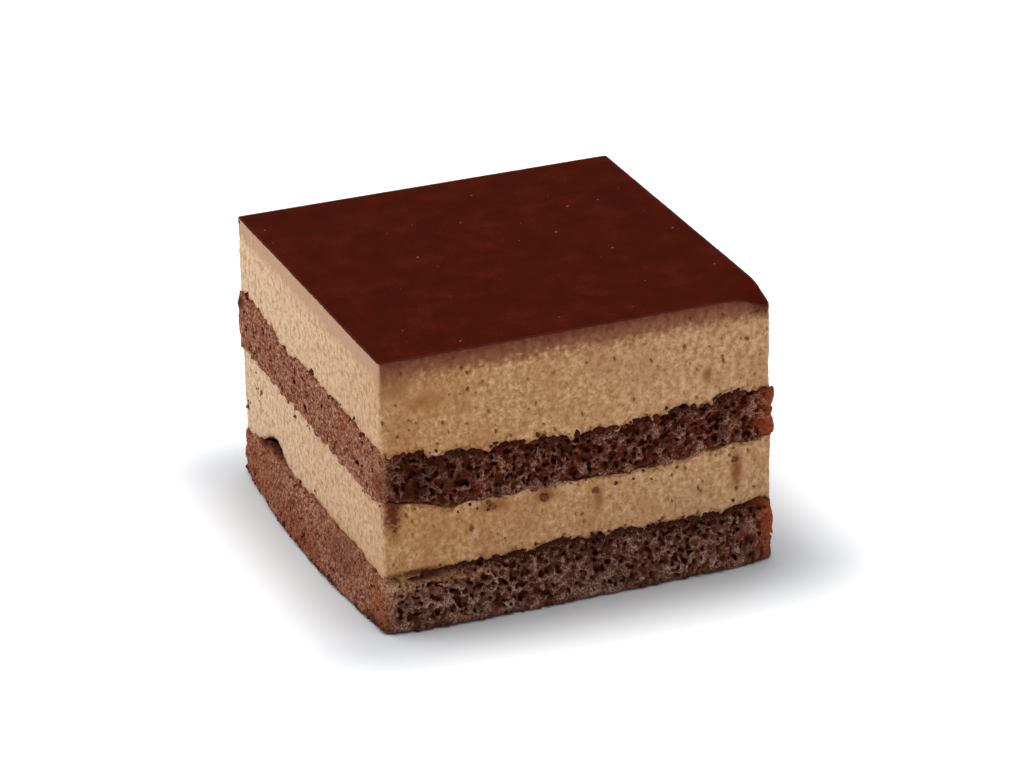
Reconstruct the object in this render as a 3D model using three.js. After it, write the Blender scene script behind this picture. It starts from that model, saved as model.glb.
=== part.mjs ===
// Square mousse cake: one portion cut from a slab, standing on its base. Millimetres, +Z up.
// Five layers lie on each other, from the base up: cocoa sponge, coffee mousse, cocoa sponge,
// coffee mousse and chocolate glaze. The knife leaves the mousse flat, and the sponges spring
// back out a little beyond it.
// The origin is on the base plane, in the middle of the outline. -Y is the front face.

import * as THREE from 'three';

// Driving dimensions.
const CAKE_SIDE = 60;
const CAKE_HEIGHT = 42;
const LAYER_GAP = 0.2;

// Each boundary between two layers: its height in the middle of the cake, how far it rises
// from there to the left and right sides, and how far from there to the back. It falls as far
// to the front.
const SPONGE_BOTTOM_TOP = { middle: 8.8, sides: -0.3, back: -0.3 };
const MOUSSE_LOWER_TOP = { middle: 18.6, sides: 1.7, back: 0.5 };
const SPONGE_UPPER_TOP = { middle: 26.3, sides: 2.2, back: 0.5 };
const MOUSSE_UPPER_TOP = { middle: 39.7, sides: 0, back: 0 };

// Unevenness of the spread layers: height and length of the long waves in each boundary.
const WAVE_HEIGHT = 0.35;
const WAVE_LENGTH_X = 23;
const WAVE_LENGTH_Y = 17;

// How far the sponges stand out beyond the knife's cut, and how far each lies off its middle:
// they spring out least at the front, where the knife pulled the crumb away.
const UPPER_SPONGE_PROUD = 0.7;
const UPPER_SPONGE_SHIFT = new THREE.Vector2(0.1, 0.35);
const BOTTOM_SPONGE_PROUD = 0.6;
const BOTTOM_SPONGE_SHIFT = new THREE.Vector2(0.05, 0);

// The weight of the cake spreads the foot of the bottom sponge: how far on each side. Along a
// side it is furthest in the middle, and BULGE says how soon it falls off towards the corners.
const FOOT_SPREAD = { left: 3.1, right: 1.5, front: 2.2, back: 1.9 };
const BULGE = { left: 2, right: 4, front: 8, back: 4 };

// How ragged or smooth each layer's cut is, and how its corners and edges are rounded.
const SPONGE_RAGGED = 0.25;
const SPONGE_CORNER = 2.6;
const SPONGE_EDGE_ROUNDING = 0.8;
const MOUSSE_WAVER = 0.08;
const MOUSSE_CORNER = 0.7;
const GLAZE_CORNER = 0.8;
const GLAZE_SLUMPED_CORNER = 2.6;
const GLAZE_EDGE_RADIUS = 0.6;

// Fineness of the surface: steps along one straight side and round one corner, the shares of
// a layer's height at which its wall has a row, and the shares of the way out from the middle
// at which its top and bottom have a ring.
const SIDE_STEPS = 16;
const CORNER_STEPS = 4;
const SPONGE_ROWS = [0, 0.12, 0.35, 0.65, 0.88, 1];
const MOUSSE_ROWS = [0, 0.33, 0.67, 1];
const GLAZE_ROWS = [0, 0.45, 0.7, 0.9, 1];
const CAP_RINGS = [0.94, 0.7, 0.36];

const HALF = CAKE_SIDE / 2;
const POINTS_ROUND = 4 * (SIDE_STEPS + CORNER_STEPS);

// A long uneven wave over the plan of the cake, between -1 and 1.
function wave(x, y, phase) {
  const along = Math.sin((2 * Math.PI * x) / WAVE_LENGTH_X + phase);
  const across = Math.cos((2 * Math.PI * y) / WAVE_LENGTH_Y + 1.7 * phase);
  return 0.6 * along + 0.4 * across;
}

// A spread boundary: its middle height, dished up towards the sides, with its own waves.
function boundary(heights, waveHeight, phase) {
  return (x, y) => {
    const dish = heights.sides * (x / HALF) ** 2 + heights.back * (y / HALF);
    return heights.middle + dish + waveHeight * wave(x, y, phase);
  };
}

const spongeBottomTop = boundary(SPONGE_BOTTOM_TOP, WAVE_HEIGHT, 0.4);
const mousseLowerTop = boundary(MOUSSE_LOWER_TOP, WAVE_HEIGHT, 2.1);
const spongeUpperTop = boundary(SPONGE_UPPER_TOP, WAVE_HEIGHT, 3.6);
const mousseUpperTop = boundary(MOUSSE_UPPER_TOP, WAVE_HEIGHT / 3, 5.2);
const base = () => 0;
const glazeTop = () => CAKE_HEIGHT;

// The outline is a square with rounded corners. Corner 0 is at +X +Y, and they go round
// counter-clockwise; step counts the points of one corner and the side after it.
function outlinePoint(index, half, cornerRadii) {
  const perCorner = SIDE_STEPS + CORNER_STEPS;
  const corner = Math.floor(index / perCorner) % 4;
  const step = index % perCorner;
  const turn = (corner * Math.PI) / 2;
  const radius = cornerRadii[corner];
  const nextRadius = cornerRadii[(corner + 1) % 4];
  const point = new THREE.Vector2();
  if (step <= CORNER_STEPS) {
    const angle = (step / CORNER_STEPS) * (Math.PI / 2);
    point.set(half - radius + radius * Math.cos(angle), half - radius + radius * Math.sin(angle));
  } else {
    const share = (step - CORNER_STEPS) / SIDE_STEPS;
    const start = half - radius;
    const end = -(half - nextRadius);
    point.set(start + (end - start) * share, half);
  }
  return point.rotateAround(new THREE.Vector2(0, 0), turn);
}

// One layer as a closed body: rows of points up its wall, and rings in to the middle of its
// bottom and its top. wallPoint(index, share) gives the plan of the wall at a share of the
// layer's height.
function layerGeometry(bottomOf, topOf, rows, wallPoint) {
  const positions = [];
  const indices = [];
  const rings = [];

  function addRing(pointAt) {
    const ring = [];
    for (let i = 0; i < POINTS_ROUND; i += 1) {
      ring.push(positions.length / 3);
      positions.push(...pointAt(i));
    }
    rings.push(ring);
  }

  function capRing(edgeShare, reach, heightOf) {
    addRing((i) => {
      const edge = wallPoint(i, edgeShare).multiplyScalar(reach);
      return [edge.x, edge.y, heightOf(edge.x, edge.y)];
    });
  }

  function join(lower, upper) {
    for (let i = 0; i < POINTS_ROUND; i += 1) {
      const next = (i + 1) % POINTS_ROUND;
      indices.push(lower[i], lower[next], upper[next]);
      indices.push(lower[i], upper[next], upper[i]);
    }
  }

  [...CAP_RINGS].reverse().forEach((reach) => capRing(0, reach, bottomOf));
  rows.forEach((share) => {
    addRing((i) => {
      const point = wallPoint(i, share);
      const low = bottomOf(point.x, point.y);
      const high = topOf(point.x, point.y);
      return [point.x, point.y, low + (high - low) * share];
    });
  });
  CAP_RINGS.forEach((reach) => capRing(1, reach, topOf));
  for (let r = 0; r + 1 < rings.length; r += 1) {
    join(rings[r], rings[r + 1]);
  }

  const bottomMiddle = positions.length / 3;
  positions.push(0, 0, bottomOf(0, 0));
  const topMiddle = positions.length / 3;
  positions.push(0, 0, topOf(0, 0));
  const first = rings[0];
  const last = rings[rings.length - 1];
  for (let i = 0; i < POINTS_ROUND; i += 1) {
    const next = (i + 1) % POINTS_ROUND;
    indices.push(bottomMiddle, first[next], first[i]);
    indices.push(topMiddle, last[i], last[next]);
  }

  const geometry = new THREE.BufferGeometry();
  geometry.setAttribute('position', new THREE.Float32BufferAttribute(positions, 3));
  geometry.setIndex(indices);
  geometry.computeVertexNormals();
  return geometry;
}

const withGap = (heightOf, gap) => (x, y) => heightOf(x, y) + gap;
const sameCorners = (radius) => [radius, radius, radius, radius];

// A sponge's wall: it bulges out between its two rounded edges, and its torn crumb makes the
// outline ragged. The ragged waves are counted in whole turns, so that the outline closes.
function spongeWall(proud, shift, phase) {
  return (index, share) => {
    const round = (2 * Math.PI * index) / POINTS_ROUND;
    const broad = Math.sin(9 * round + phase);
    const fine = Math.sin(23 * round + 2 * phase + 4 * share);
    const ragged = 0.55 * broad + 0.45 * fine;
    const edge = SPONGE_EDGE_ROUNDING * Math.abs(2 * share - 1) ** 3;
    const half = HALF + proud - edge + SPONGE_RAGGED * (ragged - 1);
    return outlinePoint(index, half, sameCorners(SPONGE_CORNER)).add(shift);
  };
}

// The bottom sponge's wall: a sponge's, with its foot spread.
function footWall(proud, shift, phase) {
  const straight = spongeWall(proud, shift, phase);
  const across = (place, bulge) => 1 - Math.min(1, Math.abs(place) / HALF) ** bulge;
  return (index, share) => {
    const point = straight(index, share);
    const sideX = point.x < 0 ? 'left' : 'right';
    const sideY = point.y < 0 ? 'front' : 'back';
    const spread = new THREE.Vector2(
      FOOT_SPREAD[sideX] * across(point.y, BULGE[sideX]) * (point.x / HALF) ** 5,
      FOOT_SPREAD[sideY] * across(point.x, BULGE[sideY]) * (point.y / HALF) ** 5,
    );
    return point.addScaledVector(spread, 1 - share);
  };
}

// A mousse's wall: the knife's flat cut, which wavers only slightly.
function mousseWall(phase) {
  return (index, share) => {
    const round = (2 * Math.PI * index) / POINTS_ROUND;
    const half = HALF + MOUSSE_WAVER * (Math.sin(5 * round + phase + 2 * share) - 1);
    return outlinePoint(index, half, sameCorners(MOUSSE_CORNER));
  };
}

// The glaze's wall: flush with the mousse, then rounded over into the top. The corner between
// the front and the right face has slumped.
function glazeWall(index, share) {
  const curve = Math.max(0, share - GLAZE_ROWS[1]) / (1 - GLAZE_ROWS[1]);
  const inset = GLAZE_EDGE_RADIUS * (1 - Math.sqrt(1 - curve ** 2));
  const corners = [GLAZE_CORNER, GLAZE_CORNER, GLAZE_CORNER, GLAZE_SLUMPED_CORNER];
  return outlinePoint(index, HALF - inset, corners);
}

// What each layer is made of.
const cocoaSponge = new THREE.MeshStandardMaterial({ color: 0x4a2b20, roughness: 0.95, metalness: 0 });
const coffeeMousse = new THREE.MeshStandardMaterial({ color: 0xb08d66, roughness: 0.8, metalness: 0 });
const chocolateGlaze = new THREE.MeshStandardMaterial({ color: 0x431709, roughness: 0.25, metalness: 0 });

function namedMesh(name, geometry, material) {
  const mesh = new THREE.Mesh(geometry, material);
  mesh.name = name;
  return mesh;
}

const halfGap = LAYER_GAP / 2;

const spongeBottom = layerGeometry(
  base,
  withGap(spongeBottomTop, -halfGap),
  SPONGE_ROWS,
  footWall(BOTTOM_SPONGE_PROUD, BOTTOM_SPONGE_SHIFT, 0.3),
);
const mousseLower = layerGeometry(
  withGap(spongeBottomTop, halfGap),
  withGap(mousseLowerTop, -halfGap),
  MOUSSE_ROWS,
  mousseWall(1.1),
);
const spongeUpper = layerGeometry(
  withGap(mousseLowerTop, halfGap),
  withGap(spongeUpperTop, -halfGap),
  SPONGE_ROWS,
  spongeWall(UPPER_SPONGE_PROUD, UPPER_SPONGE_SHIFT, 2.4),
);
const mousseUpper = layerGeometry(
  withGap(spongeUpperTop, halfGap),
  withGap(mousseUpperTop, -halfGap),
  MOUSSE_ROWS,
  mousseWall(3.9),
);
const glaze = layerGeometry(
  withGap(mousseUpperTop, halfGap),
  glazeTop,
  GLAZE_ROWS,
  glazeWall,
);

const mousseCake = new THREE.Group();
mousseCake.add(
  namedMesh('sponge_bottom', spongeBottom, cocoaSponge),
  namedMesh('mousse_lower', mousseLower, coffeeMousse),
  namedMesh('sponge_upper', spongeUpper, cocoaSponge),
  namedMesh('mousse_upper', mousseUpper, coffeeMousse),
  namedMesh('glaze_top', glaze, chocolateGlaze),
);

// The sponges stand out unevenly, so the cake is moved to put the middle of its outline at
// the origin.
const middle = new THREE.Box3().setFromObject(mousseCake).getCenter(new THREE.Vector3());
mousseCake.position.set(-middle.x, -middle.y, 0);

export default mousseCake;
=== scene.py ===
# %% [markdown]
# # A square mousse cake
#
# One portion of layered cake, cut from a slab with a long knife: cocoa sponge, coffee mousse,
# cocoa sponge, coffee mousse and a chocolate glaze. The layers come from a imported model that
# gives each of them its place and size. This lesson gives each layer the surface that the real
# one has: torn crumb, cut mousse and set glaze.

# %% Load the frame
import math
from functools import partial

import bmesh
import bpy
import numpy as np
from mathutils import Matrix, Vector


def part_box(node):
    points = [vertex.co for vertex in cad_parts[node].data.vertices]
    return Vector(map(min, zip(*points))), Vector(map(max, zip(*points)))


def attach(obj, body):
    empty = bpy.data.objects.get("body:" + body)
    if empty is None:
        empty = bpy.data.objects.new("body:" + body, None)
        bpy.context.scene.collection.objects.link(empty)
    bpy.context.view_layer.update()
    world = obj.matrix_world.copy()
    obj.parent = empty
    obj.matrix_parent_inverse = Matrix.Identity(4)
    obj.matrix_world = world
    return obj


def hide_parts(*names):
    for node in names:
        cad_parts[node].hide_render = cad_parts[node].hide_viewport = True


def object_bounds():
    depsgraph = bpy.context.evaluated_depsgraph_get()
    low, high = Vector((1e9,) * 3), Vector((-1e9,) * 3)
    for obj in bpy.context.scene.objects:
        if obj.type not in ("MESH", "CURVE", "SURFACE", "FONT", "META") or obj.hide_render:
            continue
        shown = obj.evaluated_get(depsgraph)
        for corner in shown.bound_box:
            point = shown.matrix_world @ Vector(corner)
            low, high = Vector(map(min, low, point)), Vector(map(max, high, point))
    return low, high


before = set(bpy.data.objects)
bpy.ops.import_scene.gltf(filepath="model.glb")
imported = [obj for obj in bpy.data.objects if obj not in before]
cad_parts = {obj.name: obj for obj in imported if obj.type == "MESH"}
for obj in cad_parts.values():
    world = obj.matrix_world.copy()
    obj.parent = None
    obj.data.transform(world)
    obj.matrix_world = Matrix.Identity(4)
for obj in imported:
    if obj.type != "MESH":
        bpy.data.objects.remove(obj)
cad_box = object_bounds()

print("cake measures", [round((high - low) * 1000, 1) for low, high in zip(*cad_box)], "mm")

# %% [markdown]
# ## Sizes
#
# The mousse was cut by the knife, so its box gives the square of the cake and its middle. All
# the places below are counted from there, in millimetres, because kitchen work is done in
# millimetres and Blender works in metres.

# %% Driving sizes
MM = 0.001

mousse_low, mousse_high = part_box("mousse_upper")
_, glaze_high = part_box("glaze_top")
MIDDLE = Vector((
    (mousse_low.x + mousse_high.x) / 2 / MM,
    (mousse_low.y + mousse_high.y) / 2 / MM,
    0,
))
HALF = (mousse_high.x - mousse_low.x) / 2 / MM
HEIGHT = glaze_high.z / MM
print("cut square", round(2 * HALF, 1), "mm, height", round(HEIGHT, 1), "mm")

# Finer cells show finer crumb, and take longer.
CRUMB_CELL = 0.2
WALL_STEP = 0.23

# %% [markdown]
# ## Where one layer ends and the next begins
#
# A baker spreads the mousse on the sponge with a palette knife, and the slab is pressed a
# little lower in the middle than at its sides. So a boundary is a shallow dish with long, soft
# waves in it. Each boundary is a small function of the place in plan, which every layer that
# meets it uses, so neighbours always fit. Mousse sinks into the open crumb, so at the rim its
# edge is ragged and laps a little over the sponge.

# %% Boundaries between the layers
WAVE_HEIGHT = 0.35
WAVE_LENGTH_X = 23
WAVE_LENGTH_Y = 17


def boundary(middle, sides, back, wave_height, phase, humps=()):
    """Height of a boundary in mm, over a place in mm from the middle of the cut square. It
    rises to the left and right sides and to the back. A hump is a place, a width and a
    height."""

    def height(x, y):
        dish = sides * (x / HALF) ** 2 + back * y / HALF
        along = np.sin(2 * np.pi * x / WAVE_LENGTH_X + phase)
        across = np.cos(2 * np.pi * y / WAVE_LENGTH_Y + 1.7 * phase)
        level = middle + dish + wave_height * (0.6 * along + 0.4 * across)
        for (hump_x, hump_y), width, rise in humps:
            away = ((x - hump_x) ** 2 + (y - hump_y) ** 2) / width ** 2
            level = level + rise * np.exp(-away)
        return level

    return height


def flat(level):
    return lambda x, y: level + 0 * x


def raised(height_of, by):
    return lambda x, y: height_of(x, y) + by


RAGGED_LENGTHS = (1.15, 1.75, 2.6, 4.3)
RAGGED_TURN = 0.45
RAGGED_TURN_STEP = 0.3
RIM = 1.6


def ragged(x, y, phase):
    """An uneven value between -1 and 1 that changes within a millimetre or two."""
    total = 0
    for number, length in enumerate(RAGGED_LENGTHS):
        turn = RAGGED_TURN - RAGGED_TURN_STEP * number + phase
        along = x * np.cos(turn) + y * np.sin(turn) * (1 if number % 2 else -1)
        total = total + length * np.sin(2 * np.pi * along / length + 7 * phase * (number + 1))
    return total / sum(RAGGED_LENGTHS)


def lipped(height_of, by, uneven, phase, humps=()):
    """A boundary that is moved by some mm, and is ragged, but only at the rim. A hump is the
    place along the left side, the width and the height of a hollow under the rim."""

    def height(x, y):
        from_cut = HALF - np.maximum(np.abs(x), np.abs(y))
        at_rim = np.clip(1 - from_cut / RIM, 0, 1)
        moved = by + uneven * ragged(x, y, phase)
        for place, width, rise in humps:
            moved = moved + rise * (x < 0) * np.exp(-((y - place) / width) ** 2)
        return height_of(x, y) + at_rim * moved

    return height


sponge_bottom_top = boundary(
    middle=8.8, sides=-0.3, back=-0.3, wave_height=WAVE_HEIGHT, phase=0.4,
    humps=(
        ((-30, 17.5), 5.0, 0.8), ((-30, 29), 4.0, -0.9), ((-3, -30), 5.0, 0.5),
        ((28, -30), 3.5, 0.7), ((-23, -30), 7.0, -0.7),
    ),
)
mousse_lower_top = boundary(
    middle=18.6, sides=1.7, back=0.5, wave_height=WAVE_HEIGHT, phase=2.1,
    humps=(((-20, -30), 3.2, -0.9), ((-29, -30), 2.5, 0.5)),
)
sponge_upper_top = boundary(
    middle=26.3, sides=2.2, back=0.5, wave_height=WAVE_HEIGHT, phase=3.6,
    humps=(
        ((-30, 25), 4.5, 1.1), ((-30, 9), 5.0, -0.9), ((26, -30), 3.5, 0.6),
        ((31, -31), 2.4, -1.9),
    ),
)
mousse_upper_top = boundary(
    middle=39.7, sides=0, back=0, wave_height=WAVE_HEIGHT / 3, phase=5.2,
)
for height_of in (sponge_bottom_top, mousse_lower_top, sponge_upper_top, mousse_upper_top):
    print("a boundary lies at", round(float(height_of(0, 0)), 1), "mm in the middle")

# %% [markdown]
# ## Adding nodes
#
# Geometry fields and materials are both made of nodes. One helper adds a node of any kind with
# its settings and what feeds it, so that a pattern reads from top to bottom. The kinds that are
# used most have a short name.

# %% Node helpers
MATH = "ShaderNodeMath"
VECTOR = "ShaderNodeVectorMath"
RAMP = "ShaderNodeMapRange"
NOISE = "ShaderNodeTexNoise"
AXES = "ShaderNodeSeparateXYZ"


def add_node(tree, kind, inputs=None, **settings):
    """Adds a node. An input is a plain value, another node (its first output), or an output."""
    made = tree.nodes.new(kind)
    for name, value in settings.items():
        setattr(made, name, value)
    for key, value in (inputs or {}).items():
        source = value.outputs[0] if isinstance(value, bpy.types.Node) else value
        if isinstance(source, bpy.types.NodeSocket):
            tree.links.new(source, made.inputs[key])
        else:
            made.inputs[key].default_value = source
    return made


def in_mm(add, metres):
    """A place in millimetres from the middle of the cut square."""
    scaled = add(VECTOR, {0: metres, "Scale": 1 / MM}, operation="SCALE")
    return add(VECTOR, {0: scaled, 1: MIDDLE}, operation="SUBTRACT")


def past_square(add, place, core):
    """How far a place lies past the sides of a square, in mm along each axis and in all. core
    is half the size of the square."""
    level_place = add(VECTOR, {0: place, 1: (1, 1, 0)}, operation="MULTIPLY")
    folded = add(VECTOR, {0: level_place}, operation="ABSOLUTE")
    past = add(VECTOR, {0: folded, 1: core}, operation="SUBTRACT")
    outside = add(VECTOR, {0: past, 1: (0, 0, 0)}, operation="MAXIMUM")
    return past, add(VECTOR, {0: outside}, operation="LENGTH").outputs["Value"]


def sized_cells(add, place, spacing, smallest, largest, **settings):
    """The cells of a Voronoi pattern, whose first output says how far a place lies from the
    middle of its cell, and a size in mm for each cell, picked by the cell's own colour."""
    cells = add("ShaderNodeTexVoronoi", {"Vector": place, "Scale": 1 / spacing}, **settings)
    chance = add(AXES, {0: cells.outputs["Color"]})
    return cells, add(RAMP, {"Value": chance, "To Min": smallest, "To Max": largest})


def geometry_tree(name):
    """An empty geometry node group with one geometry in and one out, and what adds to it."""
    tree = bpy.data.node_groups.new(name, "GeometryNodeTree")
    for way in ("INPUT", "OUTPUT"):
        tree.interface.new_socket("Geometry", in_out=way, socket_type="NodeSocketGeometry")
    return tree, partial(add_node, tree)


# %% Piece helpers
SMOOTH_UNDER = math.radians(50)


def keep_modifier(piece, modifier):
    """Makes what a modifier does part of the mesh."""
    bpy.context.view_layer.objects.active = piece
    bpy.ops.object.modifier_apply(modifier=modifier.name)


def run_tree(piece, tree):
    """Runs a geometry node group on a piece and keeps the result as its mesh."""
    modifier = piece.modifiers.new(tree.name, "NODES")
    modifier.node_group = tree
    keep_modifier(piece, modifier)


def mark(piece, word, values):
    """Stores a number on each point of a mesh, under a word."""
    attributes = piece.data.attributes
    layer = attributes.get(word) or attributes.new(word, "FLOAT", "POINT")
    layer.data.foreach_set("value", np.asarray(values, np.float32))


def points_of(piece):
    flat_list = np.empty(len(piece.data.vertices) * 3)
    piece.data.vertices.foreach_get("co", flat_list)
    return flat_list.reshape(-1, 3)


def move_points(piece, places):
    piece.data.vertices.foreach_set("co", places.ravel())
    piece.data.update()


def plan_of(places):
    """Where points lie in mm from the middle of the cut square, seen from above."""
    return places[:, 0] / MM - MIDDLE.x, places[:, 1] / MM - MIDDLE.y


def triangles_of(piece):
    return sum(len(face.vertices) - 2 for face in piece.data.polygons)


def lay(piece, thickness, bottom_of, top_of):
    """Bends a level layer, made from height 0 to its thickness, to lie between boundaries."""
    places = points_of(piece)
    x, y = plan_of(places)
    share = places[:, 2] / MM / thickness
    bottom = bottom_of(x, y)
    places[:, 2] = (bottom + (top_of(x, y) - bottom) * share) * MM
    move_points(piece, places)


def finish_piece(piece, node):
    """Ties a finished piece to the part: what it moves with and what it stands for."""
    bpy.ops.object.select_all(action="DESELECT")
    piece.select_set(True)
    bpy.context.view_layer.objects.active = piece
    bpy.ops.object.shade_smooth_by_angle(angle=SMOOTH_UNDER)
    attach(piece, "root")
    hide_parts(node)
    places = points_of(piece)
    size = (places.max(axis=0) - places.min(axis=0)) / MM
    sides = [round(float(side), 2) for side in size]
    print(piece.name, triangles_of(piece), "triangles,", sides, "mm")

# %% [markdown]
# ## Crumb
#
# Sponge is a foam that has set: round cells of many sizes, most of them open to each other,
# with thin walls between. A knife tears it instead of cutting it. Pushing the points of a
# plain wall in and out can't make cells that are wider inside than at their mouths, so the
# crumb is made as a volume. Every point of space gets a number: how far it is outside the
# sponge. A slab with rounded corners gives the first number, an uneven noise makes it lumpy,
# and the cells of a Voronoi pattern are taken away from it near the cut. The skin where the
# number is zero is the mesh. The left side was pressed by the flat of the knife, so its cells
# are smaller and its face is smoother.

# %% How the crumb is made
RELIEF = 3.0
LUMP = 1.7
INSET = 0.28
LAP = 0.8
LAP_INSET = 0.6
OPEN_DEPTH = 2.8
ROUNDING = 0.8
CELL_ROUNDING = 0.08
CELL_BEND = 1.5
CELLS = ((1.05, 0.1, 0.56), (0.66, 0.08, 0.4))
CRUST_CELLS = 0.5
CRUST_FULL = 0.4
CRUST_ENDS = 1.8
CORNER_FULL = 1.2
CORNER_ENDS = 2.6
PRESSED_CELLS = 0.12
PRESSED_FULL = 1.2
PRESSED_ENDS = 2.2
PRESSED_RELIEF = 0.5
PRESSED_INSET = 0.6
FLAT_RELIEF = 0.2
FOOT_RELIEF = 0.3
FOOT_FULL = 0.3
FOOT_ENDS = 1.6
ADAPTIVITY = 0.12
SOFTEN = 3
SOFTEN_WEIGHT = 0.6
MARGIN = Vector((0.8, 0.8, 0.6))


def crumb_tree(name, low, high, corner, under, offset):
    """Crumb between two corners in mm. corner is the radius of its upright edges, and under is
    how far its underside is drawn in. Each entry of CELLS is a cell spacing, and its smallest
    and largest radius."""
    tree, add = geometry_tree(name)
    place = in_mm(add, add("GeometryNodeInputPosition"))
    tall = add(AXES, {0: place}).outputs[2]
    middle = (low + high) / 2
    half = (high - low) / 2

    # The outline: a square with rounded corners.
    core = Vector((half.x - corner, half.y - corner, 0))
    centred = add(VECTOR, {0: place, 1: middle}, operation="SUBTRACT")
    past, reach = past_square(add, centred, core)
    outline = add(MATH, {0: reach, 1: corner}, operation="SUBTRACT")

    # 1 at the cut and 0 deep inside, where the crumb can stay closed.
    past_x, past_y, _ = add(AXES, {0: past}).outputs
    nearest = add(MATH, {0: past_x, 1: past_y}, operation="MAXIMUM")
    near = add(RAMP, {
        "Value": nearest,
        "From Min": corner - OPEN_DEPTH, "From Max": corner - OPEN_DEPTH / 2,
    })
    closed = add(MATH, {0: 1.0, 1: near}, operation="SUBTRACT")

    # 1 on the left side, where the knife pressed the cells shut.
    left_face = add(RAMP, {
        "Value": add(AXES, {0: centred}),
        "From Min": PRESSED_ENDS - half.x, "From Max": PRESSED_FULL - half.x,
    })

    # Lumps of all sizes.
    moved = add(VECTOR, {0: place, 1: offset}, operation="ADD")
    lumps = add(NOISE, {"Vector": moved, "Scale": 1 / LUMP, "Detail": 3.0, "Roughness": 0.62})
    level = add(MATH, {0: lumps, 1: 0.5}, operation="SUBTRACT")
    relief = add(MATH, {0: level, 1: near}, operation="MULTIPLY")

    # The sides are smoother where they were pressed, and at the foot of the cake.
    at_foot = add(RAMP, {
        "Value": tall, "From Min": FOOT_FULL, "From Max": FOOT_ENDS,
        "To Min": FOOT_RELIEF if under == 0 else 1.0,
    })
    unpressed = add(RAMP, {
        "Value": left_face, "To Min": RELIEF, "To Max": RELIEF * PRESSED_RELIEF,
    })
    side_share = add(MATH, {0: unpressed, 1: at_foot}, operation="MULTIPLY")
    side_inset = add(RAMP, {
        "Value": left_face, "To Min": INSET, "To Max": INSET * PRESSED_INSET,
    })

    # The side, the top and the underside are each drawn in by the lumps, then joined.
    above = add(MATH, {0: tall, 1: high.z}, operation="SUBTRACT")
    beneath = add(MATH, {0: tall, 1: -1.0}, operation="MULTIPLY")
    skin = None
    for face, inset, share in (
        (outline, side_inset, side_share),
        (above, LAP_INSET, RELIEF),
        (beneath, under, RELIEF if under else FLAT_RELIEF),
    ):
        drawn = add(MATH, {0: face, 1: inset}, operation="ADD")
        lumpy = add(MATH, {0: relief, 1: share, 2: drawn}, operation="MULTIPLY_ADD")
        kept = add(MATH, {0: lumpy, 1: face}, operation="MAXIMUM")
        skin = kept if skin is None else add(
            MATH, {0: skin, 1: kept, 2: ROUNDING}, operation="SMOOTH_MAX"
        )

    # The cells are smaller towards the crust, above and below, and in the corners.
    off_middle = add(MATH, {0: tall, 1: half.z}, operation="SUBTRACT")
    to_crust = add(MATH, {0: off_middle}, operation="ABSOLUTE")
    off_crust = add(RAMP, {
        "Value": to_crust, "From Min": half.z - CRUST_ENDS, "From Max": half.z - CRUST_FULL,
        "To Min": 1.0, "To Max": CRUST_CELLS,
    })
    to_corner = add(MATH, {0: past_x, 1: past_y}, operation="MINIMUM")
    off_corner = add(RAMP, {
        "Value": to_corner, "From Min": corner - CORNER_ENDS, "From Max": corner - CORNER_FULL,
        "To Min": 1.0, "To Max": CRUST_CELLS,
    })
    open_here = add(MATH, {0: off_crust, 1: off_corner}, operation="MULTIPLY")

    # The cells, bent out of round by the same noise.
    bend = add(VECTOR, {0: lumps.outputs["Color"], "Scale": CELL_BEND}, operation="SCALE")
    bent = add(VECTOR, {0: moved, 1: bend}, operation="ADD")
    body = skin
    for spacing, smallest, largest in CELLS:
        cells, size = sized_cells(add, bent, spacing, smallest, largest)
        left = add(MATH, {0: left_face, 1: -PRESSED_CELLS, 2: size}, operation="MULTIPLY_ADD")
        scaled = add(MATH, {0: left, 1: open_here}, operation="MULTIPLY")
        hole = add(MATH, {0: cells, 1: -spacing, 2: scaled}, operation="MULTIPLY_ADD")
        shut = add(MATH, {0: closed, 1: -OPEN_DEPTH, 2: hole}, operation="MULTIPLY_ADD")
        body = add(MATH, {0: body, 1: shut, 2: CELL_ROUNDING}, operation="SMOOTH_MAX")
    inside = add(MATH, {0: body, 1: -1.0}, operation="MULTIPLY")

    corner_low = (low - MARGIN + MIDDLE) * MM
    corner_high = (high + MARGIN + MIDDLE) * MM
    steps = [round(side / MM / CRUMB_CELL) for side in corner_high - corner_low]
    volume = add("GeometryNodeVolumeCube", {
        "Density": inside, "Background": -1.0, "Min": corner_low, "Max": corner_high,
        "Resolution X": steps[0], "Resolution Y": steps[1], "Resolution Z": steps[2],
    })
    mesh = add("GeometryNodeVolumeToMesh", {
        "Volume": volume, "Threshold": 0.0, "Adaptivity": ADAPTIVITY,
    })

    # Loose flakes and closed bubbles go: only the part with the most points is kept.
    part = add("GeometryNodeInputMeshIsland")
    points_in_part = add("GeometryNodeAccumulateField", {0: 1.0, 1: part}).outputs["Total"]
    most = add("GeometryNodeAttributeStatistic", {
        "Geometry": mesh, "Attribute": points_in_part,
    }).outputs["Max"]
    loose = add("FunctionNodeCompare", {0: points_in_part, 1: most}, operation="LESS_THAN")
    whole = add("GeometryNodeDeleteGeometry", {"Geometry": mesh, "Selection": loose})

    # The material reads two numbers from each point. One is how far in it lies, in mm: below the
    # skin, and in the dips between the lumps. The other is how far below the top it lies.
    dip = add(MATH, {0: relief, 1: RELIEF / 2}, operation="MULTIPLY")
    depth = add(MATH, {0: dip, 1: skin}, operation="SUBTRACT")
    below = add(MATH, {0: high.z - LAP_INSET, 1: tall}, operation="SUBTRACT")
    for word, value in (("hollow", depth), ("below_top", below)):
        whole = add("GeometryNodeStoreNamedAttribute", {
            "Geometry": whole, "Name": word, "Value": value,
        }, data_type="FLOAT", domain="POINT")

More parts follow.
